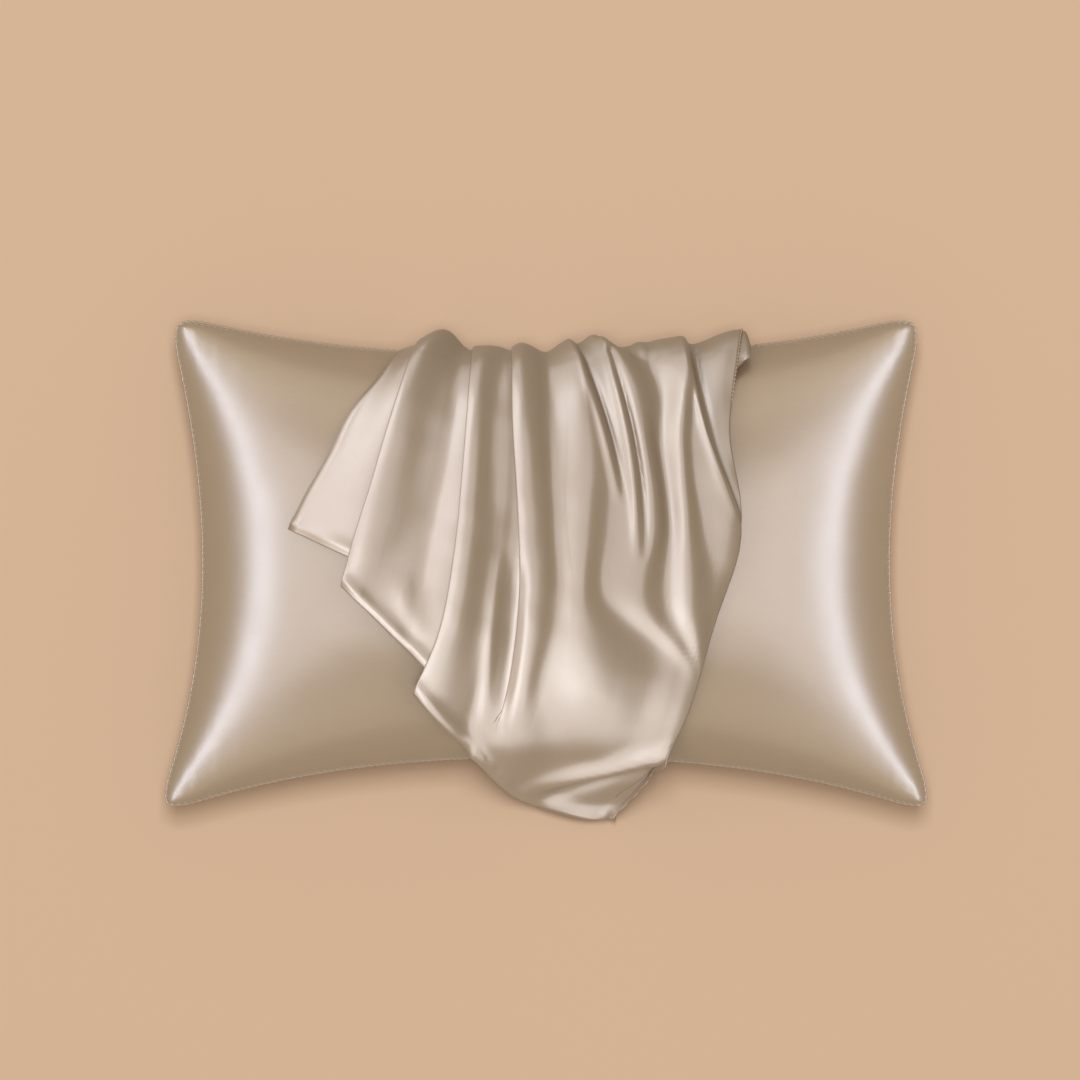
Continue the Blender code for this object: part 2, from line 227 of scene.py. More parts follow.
@dataclass(frozen=True)
class Satin:
    """A satin finish: its colours, its gloss, and the sizes of its weave in metres."""

    name: str
    color: tuple[float, float, float]
    shade: tuple[float, float, float]
    roughness: float
    weave: Weave
    specular: float = 1.0
    bending: float = 2.3
    sheen: float = 0.05
    sheen_roughness: float = 0.4
    sheen_tint: tuple[float, float, float] = (1.0, 0.93, 0.90)
    gloss_change: float = 0.015
    clouds: Mottle = Mottle(size=0.05, octaves=3, strength=0.55, share=0.3)
    slubs: Mottle = Mottle(size=0.004, octaves=2, strength=0.5, share=0.3)
    slub_stretch: float = 6
    slub_depth: float = 0.000012
    grain: Mottle = Mottle(size=0.0016, octaves=1, strength=0.5, share=0.5)
    grain_depth: float = 0.000008
    thread: float = 0.0005
    thread_depth: float = 0.0000015

    def material(self) -> bpy.types.Material:
        """The satin as a material that reads the cloth's own coordinates.

        Returns:
            The new material.
        """
        material = bpy.data.materials.new(self.name)
        nodes = Nodes(material)
        cloth = nodes.add("ShaderNodeUVMap", uv_map="cloth")
        even = self.mapped(nodes, cloth, 1.0, 1.0)
        stretches = (1.0, self.slub_stretch) if self.weave is Weave.ALONG else (self.slub_stretch, 1.0)
        drawn = self.mapped(nodes, cloth, *stretches)
        clouds = nodes.noise(even, self.clouds)
        slubs = nodes.noise(drawn, self.slubs, self.slub_stretch)
        grain = nodes.noise(even, self.grain)
        self.tint(nodes, {clouds: self.clouds.share, slubs: self.slubs.share, grain: self.grain.share})
        gloss = nodes.spread(clouds, self.roughness - self.gloss_change, self.roughness + self.gloss_change)
        nodes.join(gloss, "Result", nodes.shader, "Roughness")
        relief = nodes.bump(slubs, "Fac", self.slub_depth)
        relief = nodes.bump(grain, "Fac", self.grain_depth, relief)
        relief = nodes.bump(self.threads(nodes, cloth), "Value", self.thread_depth, relief)
        nodes.join(relief, "Normal", nodes.shader, "Normal")
        finish = {
            "Specular IOR Level": self.specular,
            "IOR": self.bending,
            "Sheen Weight": self.sheen,
            "Sheen Roughness": self.sheen_roughness,
            "Sheen Tint": (*self.sheen_tint, 1),
        }
        nodes.fill(nodes.shader, finish)
        return material

    def mapped(self, nodes: Nodes, cloth: bpy.types.Node, across: float, along: float) -> bpy.types.Node:
        """Scales the cloth's coordinates.

        Args:
            nodes: The material's nodes.
            cloth: The node that gives the coordinates, in metres.
            across: The scale across the cloth.
            along: The scale along it.

        Returns:
            The mapping node.
        """
        node = nodes.add("ShaderNodeMapping")
        node.inputs["Scale"].default_value = (across, along, 1.0)
        nodes.join(cloth, "UV", node, "Vector")
        return node

    def tint(self, nodes: Nodes, textures: dict[bpy.types.Node, float]) -> None:
        """Gives the shader its colour, with faint clouds, streaks and a fine grain in it.

        Args:
            nodes: The material's nodes.
            textures: The noises of those, and the share of the shade that each one adds.
        """
        total = None
        for texture, share in textures.items():
            part = nodes.spread(texture, 0.0, share)
            if total is None:
                total = part
                continue
            both = nodes.add("ShaderNodeMath", operation="ADD")
            nodes.join(total, 0, both, 0)
            nodes.join(part, 0, both, 1)
            total = both
        mix = nodes.add("ShaderNodeMix", data_type="RGBA")
        color_inputs = [socket for socket in mix.inputs if socket.type == "RGBA"]
        color_inputs[0].default_value = (*self.color, 1)
        color_inputs[1].default_value = (*self.shade, 1)
        nodes.join(total, 0, mix, "Factor")
        color_out = next(socket for socket in mix.outputs if socket.type == "RGBA")
        nodes.tree.links.new(color_out, nodes.shader.inputs["Base Color"])

    def threads(self, nodes: Nodes, cloth: bpy.types.Node) -> bpy.types.Node:
        """The fine ribs of the floats.

        Args:
            nodes: The material's nodes.
            cloth: The node that gives the coordinates, in metres.

        Returns:
            A node whose value runs from -1 to 1 over the ribs.
        """
        parts = nodes.add("ShaderNodeSeparateXYZ")
        nodes.join(cloth, "UV", parts, "Vector")
        scaled = nodes.add("ShaderNodeMath", operation="MULTIPLY")
        scaled.inputs[1].default_value = math.tau / self.thread
        nodes.join(parts, "X" if self.weave is Weave.ALONG else "Y", scaled, 0)
        wave = nodes.add("ShaderNodeMath", operation="SINE")
        nodes.join(scaled, "Value", wave, 0)
        return wave


@dataclass(frozen=True)
class Thread:
    """A sewing thread's finish."""

    name: str
    color: tuple[float, float, float]
    roughness: float = 0.55
    twist_scale: float = 900
    # The part of the colour left in the twist's darker bands, which are painted shade in the grooves.
    groove_shade_left: float = 0.82
    twist_depth: float = 0.0001

    def material(self) -> bpy.types.Material:
        """The thread as a material with the twist of its strands, whose darker bands are painted shade in
        the grooves between them.

        Returns:
            The new material.
        """
        material = bpy.data.materials.new(self.name)
        nodes = Nodes(material)
        place = nodes.add("ShaderNodeTexCoord")
        twist = nodes.add("ShaderNodeTexWave", wave_type="BANDS", bands_direction="DIAGONAL")
        nodes.fill(twist, {"Scale": self.twist_scale})
        nodes.join(place, "Object", twist, "Vector")
        # Darkens the twist's bands: painted shade in the grooves between the strands.
        nodes.two_tone(twist, self.color, self.groove_shade_left)
        relief = nodes.bump(twist, "Fac", self.twist_depth)
        nodes.join(relief, "Normal", nodes.shader, "Normal")
        nodes.fill(nodes.shader, {"Roughness": self.roughness})
        return material


@dataclass(frozen=True)
class Ground:
    """The floor's plain matt finish."""

    name: str
    color: tuple[float, float, float]
    roughness: float = 0.9
    specular: float = 0.1
    cloud_scale: float = 2
    cloud_left: float = 0.99

    def material(self) -> bpy.types.Material:
        """The floor as a material with the faintest cloudiness.

        Returns:
            The new material.
        """
        material = bpy.data.materials.new(self.name)
        nodes = Nodes(material)
        place = nodes.add("ShaderNodeTexCoord")
        clouds = nodes.add("ShaderNodeTexNoise")
        nodes.fill(clouds, {"Scale": self.cloud_scale})
        nodes.join(place, "Object", clouds, "Vector")
        nodes.two_tone(clouds, self.color, self.cloud_left)
        nodes.fill(nodes.shader, {"Roughness": self.roughness, "Specular IOR Level": self.specular})
        return material


# ------------------------------------------------------------------------------ mesh helpers


def make_piece(
    name: str, points: np.ndarray, faces: np.ndarray, cloth: np.ndarray, material: bpy.types.Material
) -> bpy.types.Object:
    """Makes one smooth mesh piece and puts it in the scene.

    Args:
        name: The piece's name.
        points: Its points in millimetres, as rows of three.
        faces: Its faces, as rows of four places in points.
        cloth: The cloth's own coordinates in metres, a row of two for each point.
        material: Its finish.

    Returns:
        The new object.
    """
    mesh = bpy.data.meshes.new(name)
    mesh.vertices.add(len(points))
    mesh.vertices.foreach_set("co", (points * MM).astype(np.float32).ravel())
    mesh.loops.add(faces.size)
    mesh.loops.foreach_set("vertex_index", faces.astype(np.int32).ravel())
    mesh.polygons.add(len(faces))
    mesh.polygons.foreach_set("loop_start", np.arange(0, faces.size, 4, dtype=np.int32))
    mesh.update(calc_edges=True)
    layer = mesh.uv_layers.new(name="cloth")
    layer.data.foreach_set("uv", cloth[faces.ravel()].astype(np.float32).ravel())
    mesh.validate()
    mesh.shade_smooth()
    mesh.materials.append(material)
    piece = bpy.data.objects.new(name, mesh)
    bpy.context.scene.collection.objects.link(piece)
    return piece


def grid_faces(index: np.ndarray, flip: bool = False) -> np.ndarray:
    """The faces of a grid of points.

    Args:
        index: The points' numbers, as an array [column, row].
        flip: Whether the faces are turned round.

    Returns:
        Rows of four point numbers.
    """
    corners = [index[:-1, :-1], index[1:, :-1], index[1:, 1:], index[:-1, 1:]]
    if flip:
        corners = corners[::-1]
    return np.stack([corner.ravel() for corner in corners], axis=-1)


def unit(vectors: np.ndarray) -> np.ndarray:
    """The vectors at length 1."""
    return vectors / np.linalg.norm(vectors, axis=-1, keepdims=True)


def soft_step(value: np.ndarray) -> np.ndarray:
    """A smooth rise from 0 to 1 while the value goes from 0 to 1."""
    held = np.clip(value, 0, 1)
    return held * held * (3 - 2 * held)


def soft_max(first: np.ndarray, second: float, blend: float) -> np.ndarray:
    """The larger of two heights, rounded over where they are nearly equal."""
    return 0.5 * (first + second + np.sqrt((first - second) ** 2 + blend**2))


def uneven(place: np.ndarray, wave: float, seed: Chance) -> np.ndarray:
    """A smooth, uneven value round 0 along a line.

    Args:
        place: How far along the line, in millimetres.
        wave: The mean length of its waves, in millimetres.
        seed: Which of the lines it is.

    Returns:
        The values, mostly between -1 and 1.
    """
    chance = np.random.default_rng(seed)
    total = np.zeros(np.shape(place))
    for _ in range(WAVES):
        length = wave * chance.uniform(*WAVE_LENGTHS)
        total = total + np.sin(math.tau * (place / length + chance.uniform(0, 1)))
    return total / WAVE_PEAK


def cubic_spans(
    values: np.ndarray, slopes: np.ndarray, low: np.ndarray, reach: np.ndarray, past: np.ndarray
) -> np.ndarray:
    """Reads the cubic spans of a smooth curve.

    Args:
        values: The values at the ends of the spans.
        slopes: How fast the curve changes at each of them.
        low: The number of the span that each place is in.
        reach: The length of that span.
        past: The fraction of it that comes before the place.

    Returns:
        The curve at the places.
    """
    rise = past**2 * (3 - 2 * past)
    return (
        values[low] * (1 - rise)
        + values[low + 1] * rise
        + slopes[low] * reach * past * (1 - past) ** 2
        - slopes[low + 1] * reach * past**2 * (1 - past)
    )


def spline(points: np.ndarray, at: np.ndarray) -> np.ndarray:
    """Reads a smooth curve through points, without overshoot where steps differ in length.

    Args:
        points: The points, an array whose first axis runs along the curve.
        at: The places to read, counted in points.

    Returns:
        The curve at those places.
    """
    steps = np.diff(points, axis=0)
    chords = np.linalg.norm(steps, axis=-1, keepdims=True)
    ways = steps / chords
    turning = (ways[:-1] * chords[1:] + ways[1:] * chords[:-1]) / (chords[:-1] + chords[1:])
    tangents = np.concatenate([ways[:1], turning, ways[-1:]])
    low = np.clip(np.floor(at).astype(int), 0, len(steps) - 1)
    past = (at - low).reshape(-1, *[1] * (points.ndim - 1))
    return cubic_spans(points, tangents, low, chords[low], past)


def through(levels: np.ndarray, values: np.ndarray, at: np.ndarray) -> np.ndarray:
    """Reads a smooth curve that runs through a value at each level.

    Args:
        levels: The levels, rising.
        values: The values at them, along the first axis.
        at: The levels to read.

    Returns:
        The values there, with the values' other axes last.
    """
    gaps = np.diff(levels)[:, None]
    slopes = np.diff(values, axis=0) / gaps
    inner = (slopes[:-1] * gaps[1:] + slopes[1:] * gaps[:-1]) / (gaps[:-1] + gaps[1:])
    tangents = np.concatenate([slopes[:1], inner, slopes[-1:]])
    held = np.clip(at, levels[0], levels[-1])
    low = np.clip(np.searchsorted(levels, held, side="right") - 1, 0, len(levels) - 2)
    past = (held - levels[low])[..., None] / gaps[low]
    return cubic_spans(values, tangents, low, gaps[low], past)


def nearest_on(route: np.ndarray, share: np.ndarray, place: np.ndarray) -> tuple[np.ndarray, np.ndarray]:
    """Where on a route each place is nearest, and how far away it is.

    Args:
        route: The route's points, as rows of two.
        share: The fraction of the route at each of them.
        place: The places, with a last axis of two.

    Returns:
        The fractions of the route and the distances.
    """
    best = np.full(place.shape[:-1], np.inf)
    nearest = np.zeros(place.shape[:-1])
    for start, end, low, high in zip(route[:-1], route[1:], share[:-1], share[1:]):
        run = end - start
        along = np.clip((place - start) @ run / (run @ run), 0, 1)
        distance = np.linalg.norm(place - start - along[..., None] * run, axis=-1)
        closer = distance < best
        best = np.where(closer, distance, best)
        nearest = np.where(closer, low + (high - low) * along, nearest)
    return nearest, best


def run_along(route: np.ndarray) -> np.ndarray:
    """How far along a route each of its points is."""
    return np.concatenate([[0], np.cumsum(np.linalg.norm(np.diff(route, axis=0), axis=-1))])


def points_at(route: np.ndarray, at: np.ndarray) -> np.ndarray:
    """The points of a route at distances along it, with its own axis last."""
    run = run_along(route)
    return np.stack([np.interp(at, run, one) for one in route.T], axis=-1)


# ---------------------------------------------------------------------------------- stitches


@dataclass(frozen=True)
class StitchRow:
    """A row of stitches: its pitch, and the length and radius of one stitch, in millimetres.

    The form of a stitch is its radius, as a part of the full one, at fractions of its length.
    """

    name: str
    pitch: float
    length: float
    radius: float
    sides: int = 6
    form: tuple[tuple[float, float], ...] = ((0, 0.15), (0.12, 0.8), (0.5, 1), (0.88, 0.8), (1, 0.15))

    def lay(self, route: np.ndarray, thread: Thread) -> bpy.types.Object:
        """Lays the stitches along a route, as one joined mesh.

        Args:
            route: The route's points in millimetres, as rows of three.
            thread: The thread's finish.

        Returns:
            The new object.
        """
        starts = np.arange(self.pitch / 2, run_along(route)[-1] - self.length, self.pitch)
        share, swell = np.array(self.form).T
        at = starts[:, None] + share * self.length
        centre = points_at(route, at)
        along = unit(centre[:, -1] - centre[:, 0])
        side = unit(np.cross(along, np.array([0, 0, 1.0])))
        rise = np.cross(side, along)
        turn = np.linspace(0, math.tau, self.sides, endpoint=False)
        ring = side[:, None, None] * np.cos(turn)[:, None] + rise[:, None, None] * np.sin(turn)[:, None]
        points = centre[:, :, None] + ring * (swell * self.radius)[:, None, None]
        index = np.arange(points.size // 3).reshape(points.shape[:3])
        index = np.concatenate([index, index[:, :, :1]], axis=2)
        faces = np.concatenate([grid_faces(one) for one in index])
        flat = points.reshape(-1, 3)
        return make_piece(self.name, flat, faces, flat[:, :2] * MM, thread.material())


# -------------------------------------------------------------------------------- the pillow


@dataclass
class PillowForm:
    """The filled pillow's outline and swell, in millimetres."""

    half_length: float = 343
    corner_length: float = 41.5
    corner_skew: float = 6.5
    side_bow: float = 2.0
    half_width: float = 200.5
    corner_width: float = 50
    upper_shift: float = 6
    corner_shift: float = 8
    edge_bow: float = 2.4
    corner_cut: float = 0.2
    corner_reach: float = 38
    seam_height: float = 72
    crown: float = 93
    belly: float = 104
    fullness: float = 2.4
    edge_roundness: float = 0.52
    guesses: int = 12

    def plan(self, s: np.ndarray, t: np.ndarray) -> tuple[np.ndarray, np.ndarray]:
        """The plan point at fractions of the pillow's length and width.

        Args:
            s: The fraction of its half length.
            t: The fraction of its half width.

        Returns:
            The point's x and y.
        """
        reach = np.abs(s) ** self.edge_bow
        x = s * self.row_length(t)
        y = t * (self.half_width + self.corner_width * reach)
        return x, y + t**2 * (self.upper_shift - self.corner_shift * reach)

    def row_length(self, t: np.ndarray) -> np.ndarray:
        """The pillow's half length at the fraction t of its half width."""
        return self.half_length + (self.corner_length - self.corner_skew * t) * np.abs(t) ** self.side_bow

    def fractions(self, x: np.ndarray, y: np.ndarray) -> tuple[np.ndarray, np.ndarray]:
        """The fractions of a plan point, which is plan turned round.

        Args:
            x: The point's x.
            y: The point's y.

        Returns:
            The fractions s and t, held between -1 and 1.
        """
        t = y / self.half_width
        for _ in range(self.guesses):
            t = np.clip(t, -1, 1)
            s = np.clip(x / self.row_length(t), -1, 1)
            reach = np.abs(s) ** self.edge_bow
            shift = t**2 * (self.upper_shift - self.corner_shift * reach)
            t = (y - shift) / (self.half_width + self.corner_width * reach)
        return s, np.clip(t, -1, 1)

    def swell(self, fraction: np.ndarray) -> np.ndarray:
        """How full the pillow is at a fraction of its length or width, from 1 down to 0."""
        return (1 - np.abs(fraction) ** self.fullness) ** self.edge_roundness

    def upper(self, s: np.ndarray, t: np.ndarray) -> np.ndarray:
        """The height of the upper skin at fractions of the pillow's length and width."""
        return self.seam_height + self.crown * self.swell(s) * self.swell(t)

    def top(self, x: np.ndarray, y: np.ndarray) -> np.ndarray:
        """The height of the upper skin over a plan point, and of the seam beyond the outline."""
        return self.upper(*self.fractions(x, y))

    def outline(self, s: np.ndarray, t: np.ndarray) -> tuple[np.ndarray, np.ndarray]:
        """The plan points of a square grid of fractions, rounded off at the four corners.

        Args:
            s: The grid's fractions along.
            t: The grid's fractions across.

        Returns:
            The points' x and y.
        """
        near_s = np.clip(1 - (1 - np.abs(s)) * self.half_length / self.corner_reach, 0, 1)
        near_t = np.clip(1 - (1 - np.abs(t)) * self.half_width / self.corner_reach, 0, 1)
        drawn = self.corner_cut * self.corner_reach * (near_s * near_t) ** 2
        s = s - np.sign(s) * drawn * near_s / self.half_length
        t = t - np.sign(t) * drawn * near_t / self.half_width
        return self.plan(s, t)


@dataclass
class FilledPillow:
    """The pillow in its case: one filled body, its sewn edge and the stitches in it."""

    form: PillowForm
    satin: Satin
    thread: Thread
    columns: int = 264
    rows: int = 168
    pucker_wave: float = 19
    pucker_reach: float = 24
    pucker_height: float = 0.12
    seam_flat: float = 5
    slack_waves: tuple[float, float] = (150, 120)
    slack_slants: tuple[float, float] = (0.4, -0.3)
    slack_height: float = 0.5
    seam_radius: float = 1.3
    seam_sides: int = 8
    seam_swell: float = 0.28
    seam_flatness: float = 0.8
    seam_points: int = 6
    stitch_row: StitchRow = StitchRow("pillow_stitches", pitch=6.5, length=4.2, radius=0.4)
    stitch_inset: float = 1.6
    stitch_rise: float = 0.2
    side_points: int = 400

    def build(self) -> list[bpy.types.Object]:
        """Builds and dresses the pillow.

        Returns:
            Its pieces.
        """
        body = self.body()
        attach(body, BODY)
        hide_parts("filled_pillow")
        seam = self.seam()
        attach(seam, BODY)
        stitches = self.stitch_row.lay(self.stitch_line(), self.thread)
        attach(stitches, BODY)
        return [body, seam, stitches]

    def grid(self) -> tuple[np.ndarray, np.ndarray]:
        """The square grid of fractions, closer together towards the seam.

        Returns:
            The fractions along and across, as arrays [column, row].
        """
        s = np.sin(np.linspace(-np.pi / 2, np.pi / 2, self.columns + 1))
        t = np.sin(np.linspace(-np.pi / 2, np.pi / 2, self.rows + 1))
        return np.meshgrid(s, t, indexing="ij")

    def body(self) -> bpy.types.Object:
        """The two skins, which meet in the seam.

        Returns:
            The body's object.
        """
        s, t = self.grid()
        x, y = self.form.outline(s, t)
        rise = self.form.swell(s) * self.form.swell(t)
        puckers = self.puckers(s, t, x, y)
        upper = np.stack([x, y, self.form.seam_height + self.form.crown * rise + puckers], axis=-1)
        lower_z = np.maximum(self.form.seam_height - self.form.belly * rise - puckers, 0)
        lower = np.stack([x, y, lower_z], axis=-1)
        index = np.arange(s.size).reshape(s.shape)
        inner = index.copy()
        inside = index[1:-1, 1:-1]
        inner[1:-1, 1:-1] = s.size + np.arange(inside.size).reshape(inside.shape)
        points = np.concatenate([upper.reshape(-1, 3), lower[1:-1, 1:-1].reshape(-1, 3)])
        faces = np.concatenate([grid_faces(index), grid_faces(inner, flip=True)])
        cloth = points[:, :2] * MM
        return make_piece("pillow_body", points, faces, cloth, self.satin.material())

    def puckers(self, s: np.ndarray, t: np.ndarray, x: np.ndarray, y: np.ndarray) -> np.ndarray:
        """The shallow ripples that run in from the seam, and the slack of the skin.

        Args:
            s: The fractions along.
            t: The fractions across.
            x: The plan x.
            y: The plan y.

        Returns:
            How far each point stands out of the plain form.
        """
        to_side = (1 - np.abs(s)) * self.form.half_length
        to_edge = (1 - np.abs(t)) * self.form.half_width
        side = np.exp(-to_side / self.pucker_reach) * uneven(y, self.pucker_wave, Chance.PILLOW_SIDES)
        edge = np.exp(-to_edge / self.pucker_reach) * uneven(x, self.pucker_wave, Chance.PILLOW_EDGES)
        seam = soft_step(to_side / self.seam_flat) * soft_step(to_edge / self.seam_flat)
        slack = uneven(x + self.slack_slants[0] * y, self.slack_waves[0], Chance.PILLOW_SLACK_ALONG)
        across = uneven(y + self.slack_slants[1] * x, self.slack_waves[1], Chance.PILLOW_SLACK_ACROSS)
        full = self.form.swell(s) * self.form.swell(t)
        return self.pucker_height * seam * (side + edge) + self.slack_height * (slack * across) * full

    def edge_fractions(self, inset: float) -> tuple[np.ndarray, np.ndarray]:
        """The fractions of a ring round the pillow, a little way in from its seam.

        Args:
            inset: How far in, in millimetres.

        Returns:
            The fractions along and across.
        """
        turn = np.linspace(0, 1, self.side_points, endpoint=False)
        side = np.sin(np.pi * (turn - 0.5))
        ones = np.ones_like(side)
        s = np.concatenate([side, ones, -side, -ones]) * (1 - inset / self.form.half_length)
        t = np.concatenate([-ones, side, ones, -side]) * (1 - inset / self.form.half_width)
        return s, t

    def seam_line(self) -> np.ndarray:
        """The outline that the seam follows, as a closed ring of points.

        Returns:
            Rows of two, the same number of them for each stitch.
        """
        x, y = self.form.outline(*self.edge_fractions(0))
        ring = np.stack([x, y], axis=-1)
        ring = np.concatenate([ring, ring[:1]])
        length = run_along(ring)[-1]
        count = round(length / self.stitch_row.pitch) * self.seam_points
        return points_at(ring, np.linspace(0, length, count, endpoint=False))

    def stitch_line(self) -> np.ndarray:
        """The route of the stitches, just inside the seam.

        Returns:
            Its points, as rows of three.
        """
        s, t = self.edge_fractions(self.stitch_inset)
        x, y = self.form.outline(s, t)
        return np.stack([x, y, self.form.upper(s, t) + self.stitch_rise], axis=-1)

    def seam(self) -> bpy.types.Object:
        """The sewn edge: a thin welt that the stitches draw in at even steps.

        Returns:
            The seam's object.
        """
        line = self.seam_line()
        along = unit(np.roll(line, -1, axis=0) - np.roll(line, 1, axis=0))
        out = np.stack([along[:, 1], -along[:, 0]], axis=-1)
        phase = np.arange(len(line)) * math.tau / self.seam_points
        swollen = self.seam_radius * (1 + self.seam_swell * np.cos(phase))
        turn = np.linspace(0, math.tau, self.seam_sides, endpoint=False)
        ring = np.zeros((len(line), self.seam_sides, 3))
        ring[..., :2] = line[:, None] + out[:, None] * (swollen[:, None] * np.cos(turn))[..., None]
        ring[..., 2] = self.form.seam_height + swollen[:, None] * self.seam_flatness * np.sin(turn)
        index = np.arange(ring.shape[0] * ring.shape[1]).reshape(ring.shape[:2])
        index = np.concatenate([index, index[:1]])
        index = np.concatenate([index, index[:, :1]], axis=1)
        faces = grid_faces(index)
        flat = ring.reshape(-1, 3)
        return make_piece("pillow_seam", flat, faces, flat[:, :2] * MM, self.satin.material())


# ----------------------------------------------------------------------------- the loose case


class FoldLine(NamedTuple):
    """A line down the cloth, as x at the pillow's upper side and then (x, y) to the hem."""

    name: str
    steps: int
    rim: float
    upper: tuple[float, float]
    middle: tuple[float, float]
    lower: tuple[float, float]
    brow: tuple[float, float]
    hem: tuple[float, float]


class Crease(NamedTuple):
    """A soft ridge, or a trough where it is below 0, from a start to an end in plan."""

    name: str
    start: tuple[float, float]
    end: tuple[float, float]
    bow: float
    reach: float
    start_height: float
    middle_height: float
    end_height: float

    def lift(self, place: np.ndarray, points: int = 33) -> np.ndarray:
        """How far it lifts the cloth.

        Args:
            place: Places (x, w), with a last axis of two.
            points: How many points its bowed line has.

        Returns:
            The lift at each place in millimetres.
        """
        share = np.linspace(0, 1, points)
        start = np.array(self.start, float)
        run = np.array(self.end) - start
        side = np.array([-run[1], run[0]]) / np.hypot(*run)
        bulge = (4 * share * (1 - share) * self.bow)[:, None]
        nearest, distance = nearest_on(start + run * share[:, None] + side * bulge, share, place)
        mean = (self.start_height + self.end_height) / 2
        height = self.start_height * (1 - nearest) ** 2 + self.end_height * nearest**2
        height = height + (2 * self.middle_height - mean) * 2 * nearest * (1 - nearest)
        return height * np.exp(-((distance / self.reach) ** 2))


class Pleat(NamedTuple):
    """A pleat, by the names of its lines from the under layer to the upper one."""

    before: str
    turn: str
    edge: str
    after: str
    side: Side


FOLD_LINES = (
    FoldLine("end", 0, -136, (-164, 186), (-195, 148), (-214, 110), (-241, 62), (-255, 33)),
    FoldLine("tuck_1", 12, -98, (-106, 176), (-116, 130), (-128, 82), (-145, 22), (-155, -12)),
    FoldLine("fold_1", 4, -122, (-141, 175), (-157, 125), (-171, 76), (-191, 12), (-200, -23)),
    FoldLine("tuck_2", 16, -50, (-44, 152), (-45, 82), (-53, 10), (-74, -76), (-100, -122)),
    FoldLine("fold_2", 4, -72, (-77, 154), (-82, 85), (-89, 15), (-107, -73), (-131, -125)),
    FoldLine("tuck_3", 12, -18, (-14, 141), (-9, 58), (-8, -28), (-36, -131), (-76, -187)),
    FoldLine("fold_3", 4, -34, (-33, 141), (-28, 58), (-26, -28), (-41, -135), (-64, -200)),
    FoldLine("middle", 24, 20, (22, 138), (20, 50), (28, -38), (6, -174), (-32, -231)),
    FoldLine("ridge", 40, 62, (72, 132), (92, 39), (80, -52), (46, -179), (-16, -239.5)),
    FoldLine("fold_4", 16, 138, (157, 128), (190, 34), (165, -62), (121, -183), (44, -252)),
    FoldLine("tuck_4", 4, 120, (137, 127), (166, 32), (144, -62), (108, -185), (53, -253)),
    FoldLine("mouth", 24, 199, (181, 128), (191, 38), (157, -62), (119, -184), (62, -254)),
)

PLEATS = (
    Pleat("end", "tuck_1", "fold_1", "tuck_2", Side.LEFT),
    Pleat("fold_1", "tuck_2", "fold_2", "tuck_3", Side.LEFT),
    Pleat("fold_2", "tuck_3", "fold_3", "middle", Side.LEFT),
    Pleat("mouth", "tuck_4", "fold_4", "ridge", Side.RIGHT),
)

LEVELS = (222, 187, 112, 37, -38, -113, -188, -245)


class Billow(NamedTuple):
    """A crest or a valley down the cloth: (x, height) at each of the levels, from the top."""

    name: str
    rim: tuple[float, float]
    high: tuple[float, float]
    upper: tuple[float, float]
    middle: tuple[float, float]
    lower: tuple[float, float]
    low: tuple[float, float]
    brow: tuple[float, float]
    hem: tuple[float, float]


BILLOWS = (
    Billow("left", (-146, 1), (-166, 1), (-214, 0), (-258, 0), (-264, 0), (-268, 0), (-270, 0), (-272, 0)),
    Billow(
        "crest_1",
        (-103, 16), (-131, 13), (-153, 11), (-176, 10), (-196, 7), (-214, 5), (-230, 3), (-240, 2),
    ),
    Billow(
        "valley_1",
        (-74, 2), (-97, 3), (-117, 2), (-130, 1), (-168, 1), (-184, 1), (-200, 1), (-210, 1),
    ),
    Billow("crest_2", (-60, 1), (-67, 8), (-71, 11), (-77, 12), (-87, 11), (-117, 9), (-150, 7), (-170, 5)),
    Billow("valley_2", (-38, 1), (-46, 3), (-52, 3), (-51, 2), (-58, 1), (-66, 1), (-84, 1), (-100, 1)),
    Billow("crest_3", (-26, 5), (-28, 8), (-20, 8), (-16, 7), (-8, 8), (-20, 9), (-34, 8), (-60, 3)),
    Billow("valley_3", (-3, 0), (0, 3), (4, 4), (6, 5), (10, 8), (-6, 8), (10, 4), (-20, 2)),
    Billow("crest_4", (21, 12), (33, 12), (43, 11), (40, 11), (36, 12), (48, 16), (58, 7), (40, 4)),
    Billow("valley_4", (30, 9), (42, 6), (66, 6), (62, 6), (61, 6), (144, 1), (116, 3), (60, 3)),
    Billow("crest_5", (48, 18), (78, 13), (98, 12), (107, 11), (96, 9), (147, 1), (122, 3), (80, 3)),
    Billow("valley_5", (73, 5), (106, 1), (113, 2), (121, 3), (118, 4), (150, 1), (124, 4), (90, 3)),
    Billow("crest_6", (130, 7), (138, 10), (134, 10), (138, 11), (141, 9), (152, 1), (128, 4), (100, 3)),
    Billow("valley_6", (140, 4), (147, 4), (142, 5), (154, 4), (166, 2), (154, 1), (132, 3), (110, 3)),
    Billow("right", (192, 15), (179, 10), (180, 10), (189, 9), (178, 1), (156, 0), (140, 2), (120, 3)),
)

